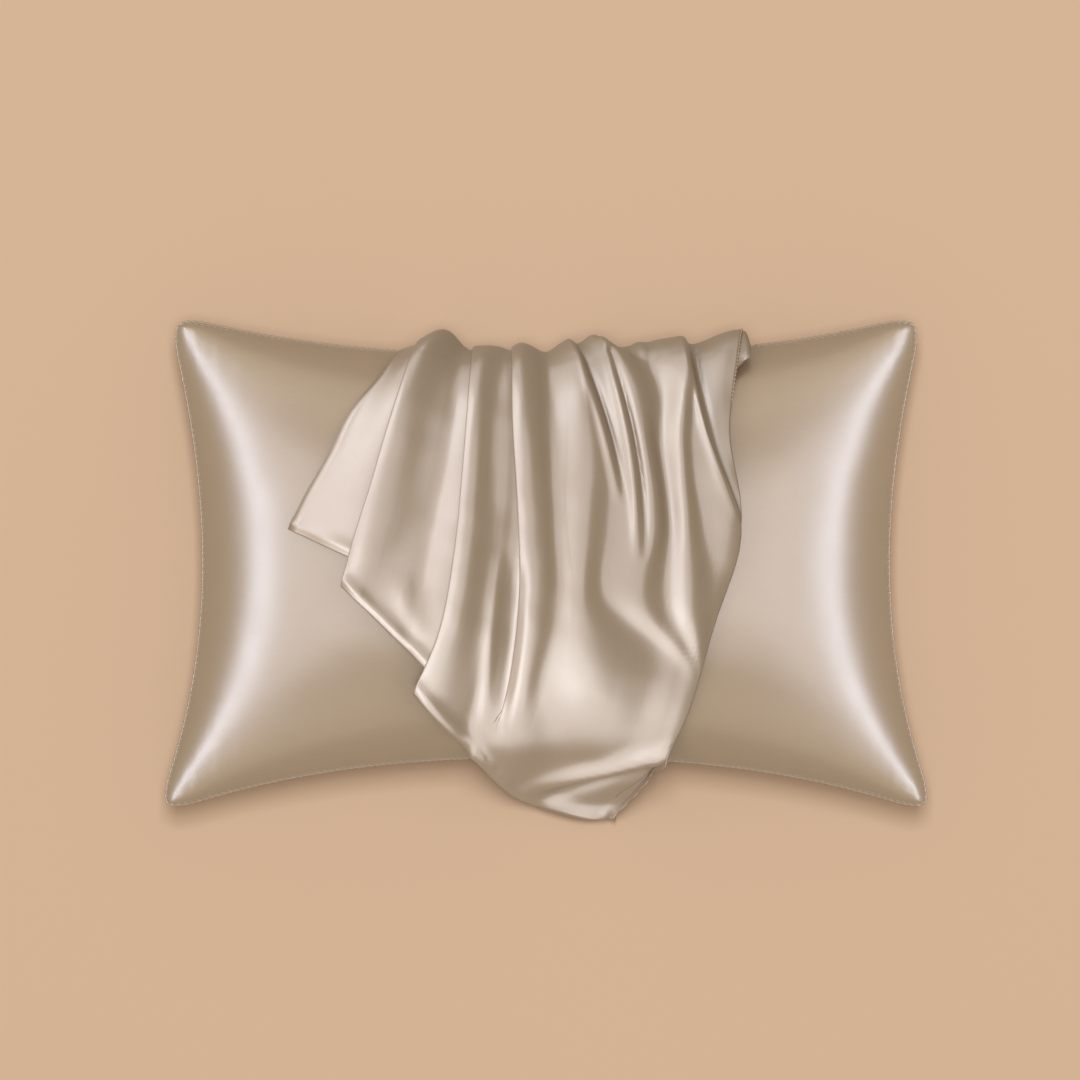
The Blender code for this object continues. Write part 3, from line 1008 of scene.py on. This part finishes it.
CREASES = (
    Crease("lip_4", (24, 222), (72, 55), 6, 5, 3, 5, 0),
    Crease("groove_4", (31, 210), (78, 60), 6, 4, -3, -4, 0),
    Crease("groove_5", (64, 200), (97, 0), 10, 3.5, -4, -5, 0),
    Crease("lip_5", (57, 214), (88, 0), 10, 5, 2, 4, 0),
    Crease("rim_bump", (92, 226), (100, 186), 0, 6, 3, 3, 0),
    Crease("lip_6", (138, 222), (187, 50), -6, 6, 5, 6, 2),
    Crease("groove_7", (147, 206), (191, 46), -6, 4, -3, -4, -2),
    Crease("crest_2b", (-45, 14), (-64, -172), 0, 7, 0, 4, 0),
    Crease("trough_2b", (-27, 6), (-48, -172), 3, 8, 0, -5, 0),
    Crease("plateau_1", (-142, -6), (-126, -76), 0, 12, 0, 3, 0),
    Crease("brow", (123, -182), (-31, -226), -3, 8, 9, 10, 0),
    Crease("brow_under", (104, -196), (-10, -236), -2, 7, -3, -6, 0),
    Crease("pouch_lip", (-10, -240), (58, -250), -4, 7, 0, 6, 5),
    Crease("tuck_pucker", (-73, -186), (-48, -196), 0, 5, 5, 3, 0),
)


def billow_height(x: np.ndarray, w: np.ndarray) -> np.ndarray:
    """The height of the crests and valleys that run down the cloth.

    Args:
        x: The places' x.
        w: The places' w.

    Returns:
        The height in millimetres.
    """
    levels = np.array(LEVELS[::-1], float)
    table = np.array([billow[1:][::-1] for billow in BILLOWS], float)
    count = len(BILLOWS)
    runs = through(levels, np.concatenate([table[..., 0], table[..., 1]]).T, w)
    lines, heights = runs[..., :count], runs[..., count:]
    lines = np.maximum.accumulate(lines, axis=-1)
    before = np.clip((x[..., None] >= lines).sum(axis=-1) - 1, 0, count - 2)[..., None]
    start = np.take_along_axis(lines, before, -1)[..., 0]
    end = np.take_along_axis(lines, before + 1, -1)[..., 0]
    low = np.take_along_axis(heights, before, -1)[..., 0]
    high = np.take_along_axis(heights, before + 1, -1)[..., 0]
    return low + (high - low) * soft_step((x - start) / np.maximum(end - start, 1))


@dataclass
class DrapeSkin:
    """The pillow's skin as the loose case lies on it."""

    form: PillowForm
    knee: float = 0.93
    take_off: float = -0.95
    floor: float = -3.0
    floor_blend: float = 16

    def height(self, x: np.ndarray, y: np.ndarray) -> np.ndarray:
        """The height that the cloth rests on: the pillow, then straight down to the floor.

        Args:
            x: The places' x.
            y: The places' y.

        Returns:
            The height in millimetres.
        """
        step = 0.5
        edge = self.form.plan(x / self.form.row_length(self.take_off), self.take_off)[1]
        level = self.form.top(x, edge)
        slope = (self.form.top(x, edge + step) - level) / step
        falling = level - slope * (edge - y)
        return soft_max(np.where(y > edge, self.form.top(x, y), falling), self.floor, self.floor_blend)

    def knee_place(self, x: np.ndarray) -> tuple[np.ndarray, np.ndarray]:
        """Where the skin starts down the pillow's upper side.

        Args:
            x: The places' x.

        Returns:
            The w and the height there.
        """
        s = x / self.form.row_length(self.knee)
        return self.form.plan(s, self.knee)[1], self.form.upper(s, self.knee)

    def rim(self, x: np.ndarray) -> np.ndarray:
        """The w of the pillow's upper seam."""
        w, height = self.knee_place(x)
        return w + height - self.form.seam_height

    def points(self, x: np.ndarray, w: np.ndarray) -> np.ndarray:
        """The points of the skin at places.

        Args:
            x: The places' x.
            w: The places' w.

        Returns:
            The points, with a last axis of three.
        """
        form = self.form
        knee_w, knee_height = self.knee_place(x)
        past = np.clip((w - knee_w) / (knee_height - form.seam_height), 0, 1)
        raised = form.swell(self.knee) * (1 - past)
        t = (1 - raised ** (1 / form.edge_roundness)) ** (1 / form.fullness)
        s = x / form.row_length(t)
        side_y = form.plan(s, t)[1]
        side_z = form.seam_height + form.crown * form.swell(s) * raised
        side_z = side_z - np.maximum(w - self.rim(x), 0)
        on_top = w <= knee_w
        y = np.where(on_top, w, side_y)
        z = np.where(on_top, self.height(x, np.minimum(w, knee_w)), side_z)
        return np.stack([x, y, z], axis=-1)

    def normals(self, x: np.ndarray, w: np.ndarray) -> np.ndarray:
        """The directions straight out of the skin at places.

        Args:
            x: The places' x.
            w: The places' w.

        Returns:
            Directions of length 1.
        """
        step = 1.0
        along = self.points(x + step, w) - self.points(x - step, w)
        down = self.points(x, w + step) - self.points(x, w - step)
        return unit(np.cross(along, down))


@dataclass
class LooseCase:
    """The loose case: a flat tube of satin in pleats, parted at its open end."""

    skin: DrapeSkin
    satin: Satin
    thread: Thread
    flat: tuple[float, float] = (0.508, 0.762)
    thickness: float = 1.2
    layer_gap: float = 2.6
    skin_gap: float = 2.4
    turn_reach: float = 5
    turn_taper: float = 3
    unfold: float = 17
    hold: float = 4
    landings: dict[Side, float] = field(default_factory=lambda: {Side.LEFT: 15, Side.RIGHT: 30})
    pleat_lifts: tuple[float, ...] = (0, 0.5, 0.95, 1.05, 1.5, 2, 1.9, 0.4)
    left_steps: tuple[int, ...] = (0, 4, 4, 6, 5, 5, 6, 6)
    right_steps: tuple[int, ...] = (0, 8, 5, 5, 5, 4, 4, 4)
    back_hem: float = 4
    back_taper: float = 190
    mouth_drop: float = 3
    mouth_columns: int = 6
    mouth_slit: float = 0.8
    mouth_plump: float = 0.4
    gape: float = 8
    gape_rows: int = 24
    gape_rise: int = 8
    gape_fall: int = 3
    scallop: float = 1.5
    scallop_rows: float = 3.2
    lip: float = 10
    lip_rows: int = 22
    lip_rise: int = 9
    flap: float = 13
    flap_rows: tuple[int, ...] = (-1, 2, 13, 17)
    flap_shape: tuple[float, ...] = (0, 0.1, 1, 0)
    overlock: StitchRow = StitchRow("mouth_stitches", pitch=4.5, length=2.8, radius=0.55)
    overlock_rows: int = 27
    slack: float = 0.3
    slack_waves: tuple[float, float] = (46, 62)
    slack_slants: tuple[float, float] = (0.3, -0.2)
    relief_blend: float = 1.0
    hem_depth: float = 7
    hem_swell: float = 3.0
    stations: tuple[float, ...] = (0, 0.2, 0.4, 0.6, 0.85, 1)
    back_rows: int = 18
    front_rows: int = 128
    row_crowding: float = 1.2

    def build(self) -> list[bpy.types.Object]:
        """Builds and dresses the loose case.

        Returns:
            Its pieces.
        """
        points, faces, cloth = self.shape()
        case = make_piece("loose_case", points, faces, cloth, self.satin.material())
        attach(case, BODY)
        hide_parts("loose_pillowcase")
        rows = self.back_rows + self.front_rows + 1
        columns = (len(points) // rows - 2 * self.mouth_columns - 1) // 2
        mouth = points.reshape(-1, rows, 3)[columns - 1]
        overlock = self.overlock.lay(mouth[self.back_rows :][: self.overlock_rows], self.thread)
        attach(overlock, BODY)
        return [case, overlock]

    def line_places(self, line: FoldLine, down: np.ndarray) -> np.ndarray:
        """The places (x, w) of a fold line.

        Args:
            line: The line.
            down: The fractions of its length.

        Returns:
            Rows of two.
        """
        hem_ward = [line.upper, line.middle, line.lower, line.brow, line.hem]
        rim = float(self.skin.rim(np.array(float(line.rim))))
        points = np.array([(line.rim, rim)] + hem_ward, float)
        return spline(points, np.interp(down, self.stations, range(len(self.stations))))

    def pleat_places(self, pleat: Pleat, lines: dict[str, np.ndarray]) -> tuple[list, list]:
        """The eight places and lifts of one pleat, from the under layer up to the upper one.

        Args:
            pleat: The pleat.
            lines: The places of every line.

        Returns:
            The places and the lifts, each as a list of eight.
        """
        before, turn, edge, after = (lines[name] for name in pleat[:4])
        sideways = np.sign(after[:, 0] - before[:, 0])
        overlap = (turn - edge)[:, 0] * sideways
        under_way = unit(turn - before)
        middle_way = unit(turn - edge) * np.sign(overlap)[:, None]
        upper_way = unit(after - edge)
        folded = self.turn_reach * np.clip(overlap / (self.turn_taper * self.turn_reach), -1, 1)[:, None]
        gap = self.layer_gap * np.clip(overlap / self.unfold, 0, 1)
        slant = np.abs(upper_way[:, 0])
        past_turn = np.maximum(overlap, self.turn_reach) / slant
        places = [
            turn - under_way * self.turn_reach,
            turn,
            turn - middle_way * folded,
            edge + middle_way * folded,
            edge,
            edge + upper_way * self.turn_reach,
            edge + upper_way * (past_turn + self.hold / slant)[:, None],
            edge + upper_way * (past_turn + self.landings[pleat.side] / slant)[:, None],
        ]
        return places, [part * gap for part in self.pleat_lifts]

    def control_rows(self, down: np.ndarray) -> list[tuple[np.ndarray, np.ndarray, int]]:
        """The lines that the cloth runs through.

        Args:
            down: The fractions of the lines' length.

        Returns:
            The places, the lifts and the steps of each line, across the cloth.
        """
        lines = {line.name: self.line_places(line, down) for line in FOLD_LINES}
        steps_of = {line.name: line.steps for line in FOLD_LINES}
        flat = np.zeros(len(down))
        rows = [(lines["end"], flat, 0)]
        for pleat in (one for one in PLEATS if one.side is Side.LEFT):
            places, lifts = self.pleat_places(pleat, lines)
            steps = list(self.left_steps)
            steps[0] += steps_of[pleat.turn]
            steps[3] += steps_of[pleat.edge]
            rows += zip(places, lifts, steps)
        rows += [(lines[name], flat, steps_of[name]) for name in ("middle", "ridge")]
        for pleat in (one for one in PLEATS if one.side is Side.RIGHT):
            places, lifts = self.pleat_places(pleat, lines)
            steps = list(self.right_steps)
            steps[0] += steps_of[pleat.edge]
            steps[5] += steps_of[pleat.turn]
            rows += zip(places[::-1], lifts[::-1], steps)
        rows.append((lines["mouth"], flat, steps_of["mouth"]))
        return rows

    def places(self) -> np.ndarray:
        """The x, w and lift of the cloth, as an array [column, row, 3].

        Returns:
            The places, with the rows that hang behind first.
        """
        down = np.linspace(0, 1, self.front_rows + 1) ** self.row_crowding
        rows = self.control_rows(down)
        points = np.array([np.column_stack([place, lift]) for place, lift, _ in rows])
        at = [0.0]
        for index, (_, _, steps) in enumerate(rows[1:]):
            at += list(index + np.arange(1, steps + 1) / steps)
        front = spline(points, np.array(at))
        from_mouth = FOLD_LINES[-1].rim - front[:, 0, 0]
        full = self.skin.form.seam_height - self.back_hem
        drop = self.mouth_drop + (full - self.mouth_drop) * np.clip(from_mouth / self.back_taper, 0, 1)
        hanging = np.repeat(front[:, :1], self.back_rows, axis=1)
        hanging[:, :, 1] += drop[:, None] * np.linspace(1, 1 / self.back_rows, self.back_rows)
        return np.concatenate([hanging, front], axis=1)

    def relief(self, x: np.ndarray, w: np.ndarray) -> np.ndarray:
        """How far the creases lift the cloth off the skin.

        Args:
            x: The places' x.
            w: The places' w.

        Returns:
            The lift in millimetres.
        """
        w = np.minimum(w, self.skin.rim(x))
        place = np.stack([x, w], axis=-1)
        lift = billow_height(x, w)
        for crease in CREASES:
            lift += crease.lift(place)
        slack = uneven(x + self.slack_slants[0] * w, self.slack_waves[0], Chance.CASE_SLACK_ALONG)
        down = uneven(w + self.slack_slants[1] * x, self.slack_waves[1], Chance.CASE_SLACK_DOWN)
        return lift + self.slack * slack * down

    def middle(self, places: np.ndarray) -> np.ndarray:
        """The surface halfway through the cloth.

        Args:
            places: The x, w and lift of the cloth.

        Returns:
            Its points, as an array [column, row, 3].
        """
        x, w, layer = places[..., 0], places[..., 1], places[..., 2]
        steps = np.linalg.norm(np.diff(places[..., :2], axis=1), axis=-1)
        to_hem = np.zeros(x.shape)
        to_hem[:, :-1] = np.cumsum(steps[:, ::-1], axis=1)[:, ::-1]
        swell = self.hem_swell * np.exp(-(((to_hem - self.hem_depth) / self.hem_depth) ** 2))
        swell = swell * soft_step(to_hem / self.hem_depth)
        relief = soft_max(self.relief(x, w), 0, self.relief_blend)
        lift = self.skin_gap + np.maximum(layer, 0) + relief + swell
        points = self.skin.points(x, w) + self.skin.normals(x, w) * lift[..., None]
        points[..., 2] = np.maximum(points[..., 2], self.thickness / 2)
        return points

    def lip_length(self, rows: int) -> np.ndarray:
        """How far the under layer stands out past the upper one.

        Args:
            rows: The rows from end to end.

        Returns:
            The length for each row.
        """
        row = np.arange(rows)
        flap = np.interp(row - self.back_rows, self.flap_rows, self.flap_shape) * self.flap
        return flap + soft_step((row - rows + self.lip_rows) / self.lip_rise) * self.lip

    def gape_height(self, rows: int) -> np.ndarray:
        """How far each layer stands off at the lower end of the mouth.

        Args:
            rows: The rows from end to end.

        Returns:
            The height for each row.
        """
        row = np.arange(rows)
        lower = soft_step((row - rows + self.gape_rows) / self.gape_rise)
        lower = lower * soft_step((rows - 1 - row) / self.gape_fall)
        return (self.gape + self.scallop * np.sin(math.tau * row / self.scallop_rows)) * lower

    def shape(self) -> tuple[np.ndarray, np.ndarray, np.ndarray]:
        """The case as one closed skin.

        Returns:
            The points in millimetres, the faces, and the cloth's own coordinates in metres.
        """
        middle = self.middle(self.places())
        across = np.gradient(middle, axis=0)
        down = np.gradient(middle, axis=1)
        normals = unit(np.cross(down, across))
        columns, rows = middle.shape[:2]
        root = columns - 1 - self.mouth_columns
        parted = np.clip((np.arange(columns) - root) / self.mouth_columns, 0, 1)[:, None, None]
        face = normals * (self.thickness / 2 + self.mouth_plump * parted)
        slit = normals * self.mouth_slit * parted
        gape = self.gape_height(rows)[None, :, None]
        middle = middle + normals * gape * parted**2
        sunk = middle - 2 * normals * gape * parted**2
        outward = unit(middle[-1] - middle[-2]) * self.lip_length(rows)[:, None]
        upper, roof, floor, under = middle + face, middle + slit, sunk - slit, sunk - face
        floor[root + 1 :] += outward * parted[root + 1 :]
        under[root + 1 :] += outward * parted[root + 1 :]
        loop = [upper, roof[:root:-1], middle[root : root + 1], floor[root + 1 :], under[::-1]]
        points = np.concatenate(loop)
        points[..., 2] = np.maximum(points[..., 2], 0)
        run = np.cumsum(np.linalg.norm(across, axis=-1).mean(axis=1))
        fall = np.cumsum(np.linalg.norm(down, axis=-1).mean(axis=0))
        one = np.stack(np.meshgrid(run, fall, indexing="ij"), axis=-1)
        ways = [one, one[:root:-1], one[root : root + 1], one[root + 1 :], one[::-1]]
        cloth = np.concatenate(ways).reshape(-1, 2) * MM
        return points.reshape(-1, 3), self.faces(len(points), columns, rows), cloth

    def faces(self, places: int, columns: int, rows: int) -> np.ndarray:
        """The faces round the section and over its two ends.

        Args:
            places: The places round the section.
            columns: The columns of one layer.
            rows: The rows from end to end.

        Returns:
            Rows of four point numbers.
        """
        index = np.arange(places * rows).reshape(places, rows)
        sides = grid_faces(np.concatenate([index, index[:1]]), flip=True)
        depth = self.mouth_columns
        root = columns - 1 - depth
        upper = np.arange(columns)
        roof = np.arange(columns + depth, columns - 1, -1)
        floor = np.arange(columns + depth, columns + 2 * depth + 1)
        under = np.arange(2 * columns + 2 * depth, columns + 2 * depth, -1)
        cap = [(upper[i], upper[i + 1], under[i + 1], under[i]) for i in range(root)]
        for i in range(depth):
            cap.append((upper[root + i], upper[root + i + 1], roof[i + 1], roof[i]))
            cap.append((floor[i], floor[i + 1], under[root + i + 1], under[root + i]))
        cap_faces = np.array(cap)
        first = cap_faces * rows
        last = cap_faces[:, ::-1] * rows + rows - 1
        return np.concatenate([sides, first, last])


# --------------------------------------------------------------------------------- the studio


class Lamp(NamedTuple):
    """A soft box, by its direction from the object's centre and its sizes in metres."""

    name: str
    lights: LitBy
    azimuth: float
    elevation: float
    distance: float
    width: float
    height: float
    power: float
    color: tuple[float, float, float]


LAMPS = (
    Lamp("floor_box", LitBy.FLOOR, 90, 76, 12.0, 3.0, 3.0, 640, (1.0, 1.0, 1.0)),
    Lamp("floor_top", LitBy.FLOOR, 90, 90, 12.0, 3.2, 3.2, 640, (1.0, 1.0, 1.0)),
    Lamp("left_strip", LitBy.PILLOW, 180, 40.5, 2.4, 5.4, 0.36, 23, (0.84, 0.88, 1.0)),
    Lamp("right_strip", LitBy.PILLOW, 0, 40.5, 2.4, 5.4, 0.36, 23, (0.84, 0.88, 1.0)),
    Lamp("left_fill", LitBy.PILLOW, 180, 53, 2.4, 4.4, 0.6, 3, (1.0, 0.95, 0.95)),
    Lamp("right_fill", LitBy.PILLOW, 0, 53, 2.4, 4.4, 0.6, 3, (1.0, 0.95, 0.95)),
    Lamp("top_box", LitBy.PILLOW, 90, 90, 2.4, 3.4, 1.4, 13, (1.0, 0.95, 0.96)),
    Lamp("back_fill", LitBy.PILLOW, 90, 42, 2.4, 3.6, 1.4, 5, (1.0, 0.86, 0.68)),
    Lamp("front_fill", LitBy.PILLOW, 270, 42, 2.4, 3.6, 1.4, 3, (1.0, 0.86, 0.68)),
    Lamp("case_left", LitBy.CASE, 180, 48, 2.4, 7.0, 1.1, 34, (1.0, 0.95, 1.0)),
    Lamp("case_low", LitBy.CASE, 165, 18, 2.4, 4.0, 0.9, 9, (1.0, 0.96, 0.95)),
    Lamp("case_above", LitBy.CASE, 170, 81, 2.4, 4.4, 2.0, 17.5, (1.0, 0.96, 0.96)),
    Lamp("case_back", LitBy.CASE, 130, 16, 2.4, 4.0, 2.4, 22, (1.0, 0.97, 0.98)),
    Lamp("case_brow", LitBy.CASE, 240, 56, 2.4, 3.6, 1.3, 13, (1.0, 0.96, 0.96)),
    Lamp("case_front", LitBy.CASE, 250, 22, 2.4, 3.4, 2.0, 25, (1.0, 0.96, 0.96)),
)


@dataclass
class Studio:
    """The floor, the soft light and the camera."""

    ground: Ground
    pillow: list[bpy.types.Object]
    case: list[bpy.types.Object]
    frame_size: float = 1.08
    lens: float = 250
    sensor: float = 36
    farthest: float = 50
    target: tuple[float, float, float] = (-0.006, 0.0225, 0.075)
    floor_size: float = 9
    ambient: float = 0.45
    ambient_color: tuple[float, float, float] = (1.0, 0.84, 0.62)

    def build(self) -> None:
        """Sets up the whole studio."""
        floor = self.floor()
        lit = {LitBy.FLOOR: [floor], LitBy.PILLOW: self.pillow, LitBy.CASE: self.case}
        for lamp in LAMPS:
            self.light(lamp, lit[lamp.lights])
        self.world()
        self.camera()
        bpy.context.scene.view_settings.view_transform = "Standard"

    def floor(self) -> bpy.types.Object:
        """Lays the plain floor.

        Returns:
            The floor's object.
        """
        half = self.floor_size / 2 / MM
        points = np.array([(-half, -half, 0), (half, -half, 0), (half, half, 0), (-half, half, 0)], float)
        faces = np.array([(0, 1, 2, 3)])
        piece = make_piece("studio_floor", points, faces, points[:, :2] * MM, self.ground.material())
        piece.visible_glossy = False
        return piece

    def light(self, lamp: Lamp, pieces: list[bpy.types.Object]) -> None:
        """Hangs one soft box.

        Args:
            lamp: Its place and sizes.
            pieces: The pieces that it lights.
        """
        data = bpy.data.lights.new(lamp.name, "AREA")
        data.shape = "RECTANGLE"
        data.size = lamp.width
        data.size_y = lamp.height
        data.energy = lamp.power
        data.color = lamp.color
        box = bpy.data.objects.new(lamp.name, data)
        bpy.context.scene.collection.objects.link(box)
        azimuth, elevation = math.radians(lamp.azimuth), math.radians(lamp.elevation)
        level = math.cos(elevation)
        way = Vector((math.cos(azimuth) * level, math.sin(azimuth) * level, math.sin(elevation)))
        box.location = way * lamp.distance
        box.rotation_euler = way.to_track_quat("Z", "Y").to_euler()
        box.visible_camera = False
        lit = bpy.data.collections.new(f"lit_by_{lamp.name}")
        for piece in pieces:
            lit.objects.link(piece)
        box.light_linking.receiver_collection = lit

    def world(self) -> None:
        """Fills the room with even soft light."""
        world = bpy.data.worlds.new("studio_world")
        world.use_nodes = True
        back = world.node_tree.nodes["Background"]
        back.inputs["Color"].default_value = (*self.ambient_color, 1)
        back.inputs["Strength"].default_value = self.ambient
        bpy.context.scene.world = world

    def camera(self) -> None:
        """Puts the camera straight above the object, far off, as the photograph was taken."""
        data = bpy.data.cameras.new("studio_camera")
        data.lens = self.lens
        data.sensor_width = self.sensor
        data.clip_end = self.farthest
        camera = bpy.data.objects.new("studio_camera", data)
        bpy.context.scene.collection.objects.link(camera)
        distance = self.frame_size * self.lens / self.sensor
        camera.matrix_world = Matrix.Translation(Vector(self.target) + Vector((0, 0, distance)))
        bpy.context.scene.camera = camera


def main() -> None:
    """Builds the pillow, the loose case and the studio, in that order."""
    logging.basicConfig(level=logging.INFO, format="%(name)s: %(message)s")
    form = PillowForm()
    thread = Thread("sewing_thread", (0.62, 0.52, 0.43))
    pillow_satin = Satin("pillow_champagne", (0.36, 0.25, 0.155), (0.31, 0.22, 0.14), 0.3, Weave.ALONG)
    loose_satin = Satin("loose_champagne", (0.25, 0.175, 0.113), (0.205, 0.144, 0.092), 0.34, Weave.ACROSS)
    pillow = FilledPillow(form, pillow_satin, thread).build()
    case = LooseCase(DrapeSkin(form), loose_satin, thread).build()
    for piece in pillow + case:
        LOG.info("%s: %d faces", piece.name, len(piece.data.polygons))
    Studio(Ground("studio_ground", (0.508, 0.368, 0.266)), pillow, case).build()


if __name__ == "__main__":
    main()
